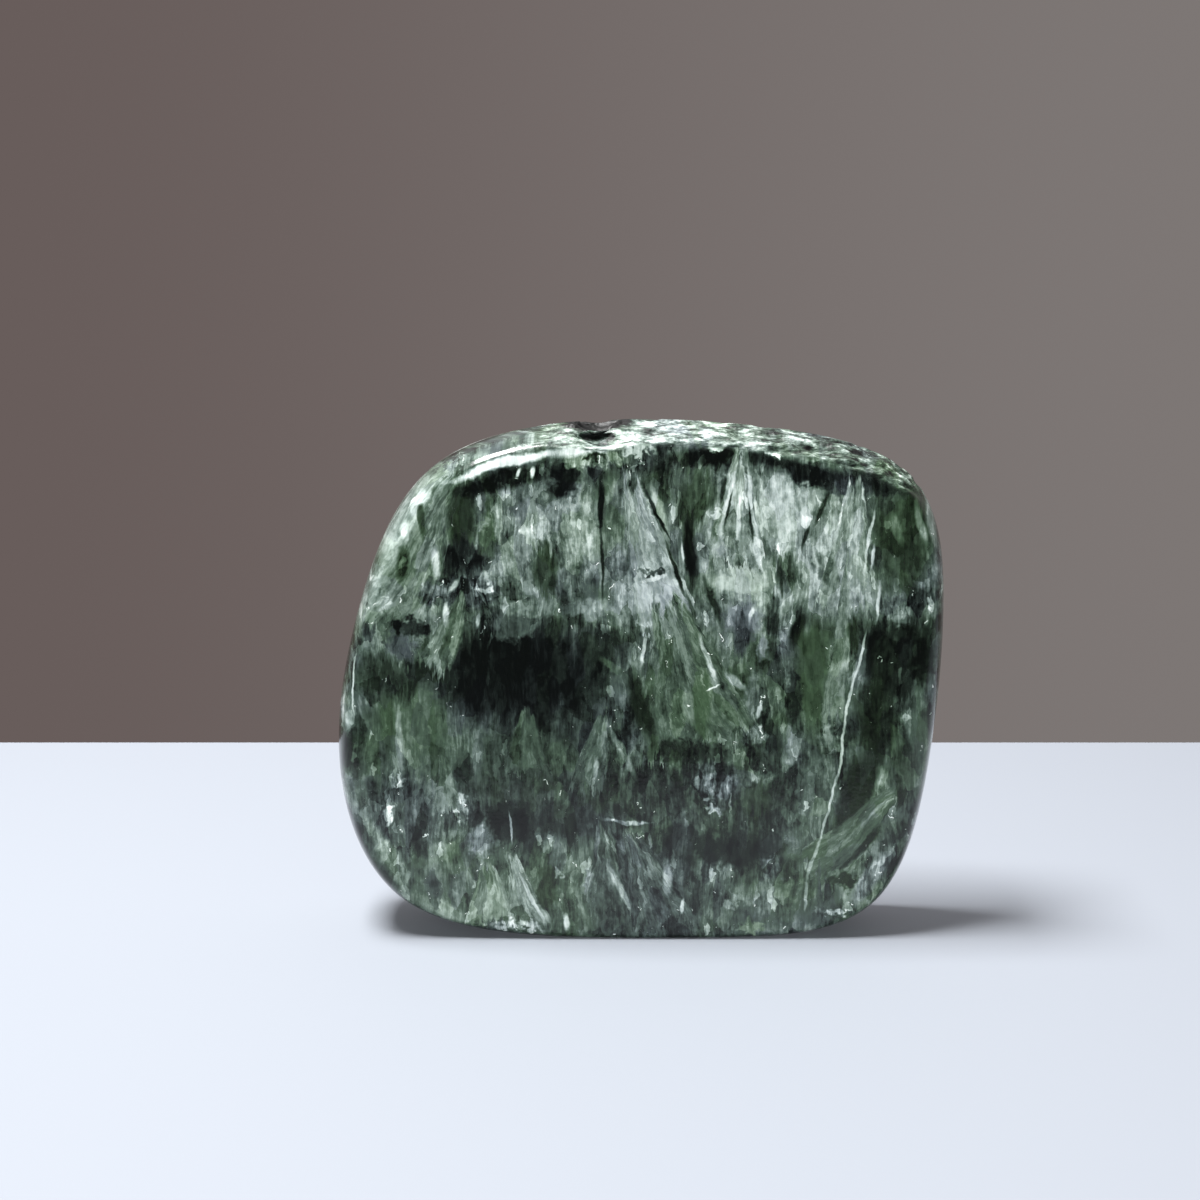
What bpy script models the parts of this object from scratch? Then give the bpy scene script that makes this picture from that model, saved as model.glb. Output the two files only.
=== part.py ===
"""A polished slab of seraphinite that stands on its edge, modelled as the one solid stone that it is.

The slab's main face looks along -Y. It is wide along X, thin along Y, and +Z is up. The origin is at the
middle of its base, on the ground flat that it stands on. Run with Blender 4.5.
"""

import bmesh
import bpy
from mathutils import Vector

# Driving dimensions, in metres
WIDTH = 0.060
HEIGHT = 0.0500
THICKNESS = 0.015

# The slab's outline at its waist, anticlockwise from the lower left corner as its face is seen. Each
# point is (share of half the width from the middle, share of the height above the ground flat), and
# the finished rim is drawn a little inside them.
RIM = (
    (-0.91, 0.03),
    (-0.40, -0.03),
    (0.35, -0.03),
    (0.88, 0.00),
    (1.00, 0.36),
    (1.04, 0.66),
    (1.00, 0.955),
    (0.42, 1.02),
    (-0.20, 1.035),
    (-0.76, 0.970),
    (-0.96, 0.68),
    (-1.08, 0.34),
)
MIDDLE = (0.0, 0.48)

# The rim bulges at the waist, and its edges with the two faces are drawn in and rounded
EDGE_SHARE = 0.965
EDGE_HALF = 0.95
ROUNDING = 0.0018

# The faces swell a little towards their middle. The slab is thinner at its right end, and both faces lean
# back as they rise, the front one more, by this much for each unit of height.
INNER_SHARE = 0.36
FACE_SWELL = 1.02
RIGHT_END_SHARE = 0.80
FRONT_LEAN = 0.105
BACK_LEAN = 0.045

# Steps of the cage across each face and across the rim, and how often it is subdivided
FACE_STEPS = 3
RIM_STEPS = 2
SMOOTH_LEVELS = 3

# The hollows along the top edge where the stone broke away and the polish didn't reach. Each is the place
# of a cutter's middle, as shares of half the width, half the thickness and the height, and its radii.
HOLLOWS = {
    "front_dip": ((-0.13, -0.30, 1.014), (0.0042, 0.0030, 0.0020)),
    "back_notch": ((-0.16, 0.85, 1.040), (0.0024, 0.0022, 0.0020)),
    "crown_hollow": ((0.22, 0.32, 1.052), (0.0080, 0.0032, 0.0022)),
    "right_ledge": ((0.62, -0.25, 1.000), (0.0050, 0.0026, 0.0018)),
}
HOLLOW_SEGMENTS = 20
HOLLOW_RINGS = 10

STONE_GREEN = (0.055, 0.105, 0.080, 1.0)


def clear_scene():
    """Empties the scene that Blender starts with."""
    for leftover in list(bpy.data.objects):
        bpy.data.objects.remove(leftover)


def new_collection(name):
    collection = bpy.data.collections.new(name)
    bpy.context.scene.collection.children.link(collection)
    return collection


def polished_stone():
    """The plain material of the solid: dark green, glossy and not metallic."""
    material = bpy.data.materials.new("polished_seraphinite")
    material.use_nodes = True
    shader = material.node_tree.nodes["Principled BSDF"]
    shader.inputs["Base Color"].default_value = STONE_GREEN
    shader.inputs["Roughness"].default_value = 0.12
    shader.inputs["Metallic"].default_value = 0.0
    return material


def rim_places():
    """The cage's (column, row) places round the rim, in the order of RIM."""
    last = FACE_STEPS
    bottom = [(step, 0) for step in range(last)]
    right = [(last, step) for step in range(last)]
    top = [(last - step, last) for step in range(last)]
    left = [(0, last - step) for step in range(last)]
    return bottom + right + top + left


def cage_place(column, row, depth, rim):
    """Where a point of the cage goes. Column and row run from 0 to FACE_STEPS, and depth from -1 to 1."""
    middle = Vector(MIDDLE)
    if (column, row) in rim:
        share = 1.0 if depth == 0 else EDGE_SHARE
        half = EDGE_HALF
        outline = Vector(rim[(column, row)])
    else:
        share = INNER_SHARE
        half = FACE_SWELL
        corner = (0 if column == 1 else FACE_STEPS, 0 if row == 1 else FACE_STEPS)
        outline = Vector(rim[corner])
    across, up = middle + (outline - middle) * share
    thinning = 1 - (1 - RIGHT_END_SHARE) * (across + 1) / 2
    front = up * HEIGHT * FRONT_LEAN - half * THICKNESS / 2
    back = up * HEIGHT * BACK_LEAN + half * THICKNESS * (thinning - 1 / 2)
    deep = front + (back - front) * (depth + 1) / 2
    return Vector((across * WIDTH / 2, deep, up * HEIGHT))


def edges_along(form, axis):
    """The edges that run along one axis of the unshaped block."""
    found = []
    for edge in form.edges:
        start, end = (vert.co for vert in edge.verts)
        if abs((end - start)[axis]) > 1e-6:
            found.append(edge)
    return found


def slab_cage(name):
    """A block of quads, cut into a grid, drawn out to the slab's outline and ringed at its edges."""
    form = bmesh.new()
    bmesh.ops.create_cube(form, size=2.0)
    for axis, steps in ((0, FACE_STEPS), (1, RIM_STEPS), (2, FACE_STEPS)):
        bmesh.ops.subdivide_edges(form, edges=edges_along(form, axis), cuts=steps - 1)
    rim = dict(zip(rim_places(), RIM))
    front = [face for face in form.faces if face.normal.y < -0.5]
    back = [face for face in form.faces if face.normal.y > 0.5]
    for vert in form.verts:
        column = round((vert.co.x + 1) * FACE_STEPS / 2)
        row = round((vert.co.z + 1) * FACE_STEPS / 2)
        vert.co = cage_place(column, row, round(vert.co.y), rim)
    for faces in (front, back):
        bmesh.ops.inset_region(form, faces=faces, thickness=ROUNDING, use_even_offset=True)
    mesh = bpy.data.meshes.new(name)
    form.to_mesh(mesh)
    form.free()
    return mesh


def add_cut(slab, cutter):
    """Takes one cutter out of the slab."""
    cutter.hide_render = True
    cutter.display_type = "WIRE"
    cut = slab.modifiers.new(cutter.name, "BOOLEAN")
    cut.operation = "DIFFERENCE"
    cut.solver = "EXACT"
    cut.object = cutter


def ground_block(cutters):
    """The block that grinds the flat: everything under the surface that the stone stands on."""
    mesh = bpy.data.meshes.new("ground_flat")
    form = bmesh.new()
    bmesh.ops.create_cube(form, size=2 * WIDTH)
    bmesh.ops.translate(form, verts=form.verts, vec=(0, 0, -WIDTH))
    form.to_mesh(mesh)
    form.free()
    block = bpy.data.objects.new("ground_flat", mesh)
    cutters.objects.link(block)
    return block


def hollow_cutter(cutters, name, place, radii):
    """A smooth lump whose shape is taken out of the top edge."""
    mesh = bpy.data.meshes.new(name)
    form = bmesh.new()
    bmesh.ops.create_uvsphere(form, u_segments=HOLLOW_SEGMENTS, v_segments=HOLLOW_RINGS, radius=1.0)
    bmesh.ops.scale(form, verts=form.verts, vec=radii)
    form.to_mesh(mesh)
    form.free()
    across, deep, up = place
    cutter = bpy.data.objects.new(name, mesh)
    cutter.location = (across * WIDTH / 2, deep * THICKNESS / 2, up * HEIGHT)
    cutters.objects.link(cutter)
    return cutter


def make_slab(parts, cutters):
    mesh = slab_cage("seraphinite_slab")
    mesh.shade_smooth()
    mesh.materials.append(polished_stone())
    slab = bpy.data.objects.new("seraphinite_slab", mesh)
    parts.objects.link(slab)
    smooth = slab.modifiers.new("smooth", "SUBSURF")
    smooth.levels = SMOOTH_LEVELS
    smooth.render_levels = SMOOTH_LEVELS
    add_cut(slab, ground_block(cutters))
    for name, (place, radii) in HOLLOWS.items():
        add_cut(slab, hollow_cutter(cutters, name, place, radii))
    return slab


def set_on_origin(slab, cutters):
    """Moves the slab and its cutters together, so that the middle of its base is at the origin."""
    graph = bpy.context.evaluated_depsgraph_get()
    corners = [Vector(corner) for corner in slab.evaluated_get(graph).bound_box]
    middle = sum(corners, Vector()) / len(corners)
    for moved in [slab, *cutters.objects]:
        moved.location.x -= middle.x
        moved.location.y -= middle.y


def main():
    clear_scene()
    parts = new_collection("polished_seraphinite_slab")
    cutters = new_collection("cutters")
    slab = make_slab(parts, cutters)
    set_on_origin(slab, cutters)


main()
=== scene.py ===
import math

import bmesh
import bpy
import numpy as np
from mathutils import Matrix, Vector, noise


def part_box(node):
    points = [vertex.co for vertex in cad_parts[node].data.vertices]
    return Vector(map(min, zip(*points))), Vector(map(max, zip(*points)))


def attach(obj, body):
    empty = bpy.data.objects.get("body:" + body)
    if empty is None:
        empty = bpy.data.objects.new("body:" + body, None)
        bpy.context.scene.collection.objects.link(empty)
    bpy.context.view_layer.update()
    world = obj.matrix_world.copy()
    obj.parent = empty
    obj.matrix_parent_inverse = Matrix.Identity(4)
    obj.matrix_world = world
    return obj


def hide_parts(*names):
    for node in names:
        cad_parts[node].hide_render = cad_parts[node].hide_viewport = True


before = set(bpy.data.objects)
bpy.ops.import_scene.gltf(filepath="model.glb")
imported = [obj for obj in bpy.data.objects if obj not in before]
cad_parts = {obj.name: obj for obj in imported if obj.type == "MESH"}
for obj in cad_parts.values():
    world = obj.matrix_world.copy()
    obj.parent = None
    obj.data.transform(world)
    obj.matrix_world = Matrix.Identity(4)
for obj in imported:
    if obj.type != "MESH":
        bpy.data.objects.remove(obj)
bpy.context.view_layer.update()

MM = 0.001

# The slab. One piece of seraphinite, which is chlorite with silvery fans of fibres grown through dark green
# stone. It was sawn, ground to a soft freeform outline, given a small flat to stand on and polished, but
# along its top edge the rock had split, and the polish never reached the pale flaky crust there.
SLAB_LOW, SLAB_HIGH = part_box("seraphinite_slab")

# Its outline at the waist, anticlockwise from the lower left corner, in shares of half the width and of the
# height, then how far the rounded edges are drawn in, how the faces swell, and how it thins and leans back
RIM = (
    (-0.91, 0.03),
    (-0.40, -0.03),
    (0.35, -0.03),
    (0.88, 0.00),
    (1.00, 0.36),
    (1.04, 0.66),
    (1.00, 0.955),
    (0.42, 1.02),
    (-0.20, 1.035),
    (-0.76, 0.970),
    (-0.96, 0.68),
    (-1.08, 0.34),
)
WIDTH = 60 * MM
HEIGHT = 50 * MM
THICKNESS = 15 * MM
MIDDLE = Vector((0.0, 0.48))
EDGE_SHARE = 0.965
EDGE_HALF = 0.95
ROUNDING = 2.4 * MM
INNER_SHARE = 0.36
FACE_SWELL = 1.02
RIGHT_END_SHARE = 0.80
FRONT_LEAN = 0.105
BACK_LEAN = 0.045
FACE_STEPS = 3
RIM_STEPS = 2
FINE_LEVELS = 5


def rim_places():
    """The grid's (column, row) places round its border, in the order of the outline."""
    last = FACE_STEPS
    bottom = [(step, 0) for step in range(last)]
    right = [(last, step) for step in range(last)]
    top = [(last - step, last) for step in range(last)]
    left = [(0, last - step) for step in range(last)]
    return bottom + right + top + left


def slab_place(column, row, depth, rim):
    """Where one point of the rough block goes when it is drawn out to the slab."""
    if (column, row) in rim:
        share = 1.0 if depth == 0 else EDGE_SHARE
        half = EDGE_HALF
        outline = Vector(rim[(column, row)])
    else:
        share = INNER_SHARE
        half = FACE_SWELL
        outline = Vector(rim[(0 if column == 1 else FACE_STEPS, 0 if row == 1 else FACE_STEPS)])
    across, up = MIDDLE + (outline - MIDDLE) * share
    thinning = 1 - (1 - RIGHT_END_SHARE) * (across + 1) / 2
    front = up * HEIGHT * FRONT_LEAN - half * THICKNESS / 2
    back = up * HEIGHT * BACK_LEAN + half * THICKNESS * (thinning - 1 / 2)
    return Vector((across * WIDTH / 2, front + (back - front) * (depth + 1) / 2, up * HEIGHT))


def rough_block():
    """A block cut into a grid, drawn out to the outline and ringed where its edges will be rounded."""
    form = bmesh.new()
    bmesh.ops.create_cube(form, size=2.0)
    for axis, steps in ((0, FACE_STEPS), (1, RIM_STEPS), (2, FACE_STEPS)):
        along = [edge for edge in form.edges if abs((edge.verts[0].co - edge.verts[1].co)[axis]) > 0.01]
        bmesh.ops.subdivide_edges(form, edges=along, cuts=steps - 1)
    faces_of = [[face for face in form.faces if face.normal.y * side > 0.5] for side in (-1, 1)]
    rim = dict(zip(rim_places(), RIM))
    for vert in form.verts:
        column = round((vert.co.x + 1) * FACE_STEPS / 2)
        row = round((vert.co.z + 1) * FACE_STEPS / 2)
        vert.co = slab_place(column, row, round(vert.co.y), rim)
    for faces in faces_of:
        bmesh.ops.inset_region(form, faces=faces, thickness=ROUNDING, use_even_offset=True)
    mesh = bpy.data.meshes.new("rough_block")
    form.to_mesh(mesh)
    form.free()
    return mesh


def rounded(block, name):
    """The block's mesh, rounded by Subdivision Surface."""
    holder = bpy.data.objects.new(name, block)
    bpy.context.scene.collection.objects.link(holder)
    smooth = holder.modifiers.new("smooth", "SUBSURF")
    smooth.levels = FINE_LEVELS
    smooth.render_levels = FINE_LEVELS
    graph = bpy.context.evaluated_depsgraph_get()
    mesh = bpy.data.meshes.new_from_object(holder.evaluated_get(graph))
    bpy.data.objects.remove(holder)
    bpy.data.meshes.remove(block)
    return mesh


def rows_of(items, name):
    """One row of three numbers for each point of a mesh: its place or its normal."""
    numbers = np.empty(len(items) * 3)
    items.foreach_get(name, numbers)
    return numbers.reshape(-1, 3)


def move_points(mesh, points):
    mesh.vertices.foreach_set("co", points.ravel())
    mesh.update()


def eased(values, start, end):
    """0 at start and 1 at end, with soft ends."""
    share = np.clip((values - start) / (end - start), 0, 1)
    return share * share * (3 - 2 * share)


# Where the rock split along the top edge. Each hollow is the middle of a scoop, in shares of half the width,
# half the thickness and the height, and the scoop's radii
HOLLOWS = (
    ((-0.13, -0.30, 1.014), (4.2 * MM, 3.0 * MM, 2.0 * MM)),
    ((-0.14, 0.42, 1.036), (2.6 * MM, 3.8 * MM, 2.2 * MM)),
    ((0.22, 0.32, 1.052), (8.0 * MM, 3.2 * MM, 2.2 * MM)),
    ((0.62, -0.25, 1.000), (5.0 * MM, 2.6 * MM, 1.8 * MM)),
)


def scoop_hollows(points, shift):
    """Presses the points that lie inside a scoop out to its surface."""
    for (across, deep, up), radii in HOLLOWS:
        middle = np.array((across * WIDTH / 2, deep * THICKNESS / 2, up * HEIGHT)) + shift
        from_middle = (points - middle) / np.array(radii)
        distance = np.linalg.norm(from_middle, axis=1)
        inside = distance < 1
        points[inside] = middle + (points[inside] - middle) / distance[inside, None]


# The crust: how far a surface faces up where it starts and where it is full, where it starts and is full
# along the top, the height of its foot and how softly that ends
CRUST_FACES_UP = (0.10, 0.6)
CRUST_FROM = -14 * MM
CRUST_FULL = -7 * MM
CRUST_FOOT = 43 * MM
CRUST_FOOT_FADE = 3 * MM

# Its flakes: how far they stand out, their size, the dimension, lacunarity, octaves and offset of the noise
# that raises them, the noise's middle, and the height that no flake passes
CRUST_RELIEF = 0.42 * MM
FLAKE_LENGTH = 3.0 * MM
FLAKE_WIDTH = 0.9 * MM
FLAKE_NOISE = (0.9, 2.1, 4, 0.4)
FLAKE_MIDDLE = 0.7
FLAKE_TOP = 0.2


def crust_share(points, normals):
    """How much of the crust lies at each point: all on the top edge, none on the polished faces."""
    facing_up = eased(normals[:, 2], *CRUST_FACES_UP)
    along = eased(points[:, 0], CRUST_FROM, CRUST_FULL)
    high = eased(points[:, 2], CRUST_FOOT, CRUST_FOOT + CRUST_FOOT_FADE)
    return facing_up * along * high


def flakes(points, crust):
    """How high the flakes stand at each point, from -1 in the gaps to FLAKE_TOP."""
    heights = np.zeros(len(points))
    for index in np.nonzero(crust > 0.01)[0]:
        x, y, z = points[index]
        at = Vector((x / FLAKE_LENGTH, y / FLAKE_WIDTH, z / FLAKE_WIDTH))
        heights[index] = noise.hetero_terrain(at, *FLAKE_NOISE) - FLAKE_MIDDLE
    return np.clip(heights, -1, FLAKE_TOP)


def make_slab():
    """The slab as one fine mesh, set in the middle of the part's box and flat where it meets the table."""
    mesh = rounded(rough_block(), "seraphinite_slab")
    points = rows_of(mesh.vertices, "co")
    low, high = points.min(axis=0), points.max(axis=0)
    shift = np.array((SLAB_LOW + SLAB_HIGH) / 2) - (low + high) / 2
    shift[2] = 0
    points += shift
    points[:, 2] = np.maximum(points[:, 2], 0)
    scoop_hollows(points, shift)
    move_points(mesh, points)
    normals = rows_of(mesh.vertex_normals, "vector")
    crust = crust_share(points, normals)
    points += normals * (crust * flakes(points, crust) * CRUST_RELIEF)[:, None]
    mesh.attributes.new("crust", "FLOAT", "POINT").data.foreach_set("value", crust)
    move_points(mesh, points)
    mesh.shade_smooth()
    slab = bpy.data.objects.new("polished_slab", mesh)
    bpy.context.scene.collection.objects.link(slab)
    return slab


# The pattern in the stone. Its marks are laid in millimetres on the main face, x to the right of the middle
# and z up from the base, and it runs on through the slab, slanting and drifting as it goes deeper.


def make(tree, kind, feeds=None, **settings):
    """One node, with its settings, whose sockets are fed by other nodes' outputs or set to values."""
    made = tree.nodes.new(kind)
    for name, value in settings.items():
        setattr(made, name, value)
    for socket, value in (feeds or {}).items():
        if isinstance(value, bpy.types.NodeSocket):
            tree.links.new(value, made.inputs[socket])
        else:
            made.inputs[socket].default_value = value
    return made


def maths(tree, operation, *values):
    """One step of arithmetic on numbers and outputs."""
    return make(tree, "ShaderNodeMath", dict(enumerate(values)), operation=operation).outputs[0]


def vectors(tree, operation, *values, result=0):
    """One step of vector arithmetic, and its vector, or its number where result is 1."""
    return make(tree, "ShaderNodeVectorMath", dict(enumerate(values)), operation=operation).outputs[result]


def faded(tree, value, start, end, low=0.0, high=1.0):
    """Goes softly from low to high as a value goes from start to end."""
    feeds = {"Value": value, "From Min": start, "From Max": end, "To Min": low, "To Max": high}
    made = make(tree, "ShaderNodeMapRange", feeds, interpolation_type="SMOOTHSTEP", clamp=False)
    return made.outputs["Result"]


def blended(tree, share, first, second):
    """Two colours, mixed by a share of the second."""
    return make(tree, "ShaderNodeMix", {0: share, 6: first, 7: second}, data_type="RGBA").outputs[2]


def joined(tree, first, second, third):
    """Three numbers carried as one colour."""
    return make(tree, "ShaderNodeCombineColor", {0: first, 1: second, 2: third}).outputs[0]


def parted(tree, colour):
    """The three numbers that a colour carries."""
    return make(tree, "ShaderNodeSeparateColor", {0: colour}).outputs


# The kinds of socket that a node group has
NUMBER = "NodeSocketFloat"
VECTOR = "NodeSocketVector"
COLOUR = "NodeSocketColor"


def new_group(name, inputs, outputs):
    """An empty node group with its sockets, and its input and output nodes."""
    tree = bpy.data.node_groups.new(name, "ShaderNodeTree")
    for label, kind in inputs:
        tree.interface.new_socket(label, in_out="INPUT", socket_type=kind)
    for label, kind in outputs:
        tree.interface.new_socket(label, in_out="OUTPUT", socket_type=kind)
    return tree, tree.nodes.new("NodeGroupInput").outputs, tree.nodes.new("NodeGroupOutput").inputs


# A mark changes the stone's look where it lies: how pale it is, how its green leans from olive at 0 to
# slate at 1, and how busy it is with crystals. Its border is soft: how steep it is, and how far it spreads
BORDER_STEEPNESS = 2.2
BORDER_SPREAD = 1.12


def oval(tree, point, middle, turn, half_sizes):
    """How much of an oval mark lies at a point: all in its middle, none past its soft border."""
    made = make(tree, "ShaderNodeTexGradient", {0: point}, gradient_type="SPHERICAL")
    placing = made.texture_mapping
    placing.vector_type = "TEXTURE"
    placing.translation = (*middle, 1.0)
    placing.rotation = (0.0, 0.0, turn)
    placing.scale = (half_sizes[0] * BORDER_SPREAD, half_sizes[1] * BORDER_SPREAD, 1.0)
    return maths(tree, "MULTIPLY", made.outputs["Fac"], BORDER_STEEPNESS)


# A plume is a fan of fibres that spreads from its root, and the crystals inside it follow its rays. A fibre's
# width and length are in millimetres. The rest are shares of a plume's own size: how blunt its root is, how
# far its ends are torn, within what border its look is full, and within what border it has its own rays
FIBRE_WIDTH = 0.30
FIBRE_LENGTH = 2.2
BLUNT_ROOT = 0.25
TORN_ENDS = 0.8
PLUME_FULL = 0.75
PLUME_RAYS = 0.92


def plume_group():
    inputs = (
        ("Fibres", COLOUR),
        ("Look", COLOUR),
        ("Point", VECTOR),
        ("Tear", NUMBER),
        ("Across", VECTOR),
        ("Along", VECTOR),
        ("Width", NUMBER),
        ("Length", NUMBER),
        ("Own Look", COLOUR),
        ("Strength", NUMBER),
        ("Seed", NUMBER),
    )
    tree, given, result = new_group("plume", inputs, (("Fibres", COLOUR), ("Look", COLOUR)))
    across = vectors(tree, "DOT_PRODUCT", given["Point"], given["Across"], result=1)
    along = vectors(tree, "DOT_PRODUCT", given["Point"], given["Along"], result=1)
    ray = maths(tree, "DIVIDE", across, maths(tree, "ADD", along, BLUNT_ROOT))
    torn = maths(tree, "MULTIPLY_ADD", given["Tear"], TORN_ENDS, along)
    lengthways = maths(tree, "ABSOLUTE", maths(tree, "MULTIPLY_ADD", torn, 2.0, -1.0))
    border = maths(tree, "MAXIMUM", maths(tree, "ABSOLUTE", ray), lengthways)
    strength = faded(tree, border, 1.0, PLUME_FULL, 0.0, given["Strength"])
    own_fibres = maths(tree, "LESS_THAN", border, PLUME_RAYS)
    u = maths(tree, "MULTIPLY_ADD", ray, given["Width"], given["Seed"])
    v = maths(tree, "MULTIPLY", along, given["Length"])
    fibres = joined(tree, u, v, 0.0)
    tree.links.new(blended(tree, own_fibres, given["Fibres"], fibres), result["Fibres"])
    tree.links.new(blended(tree, strength, given["Look"], given["Own Look"]), result["Look"])
    return tree


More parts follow.
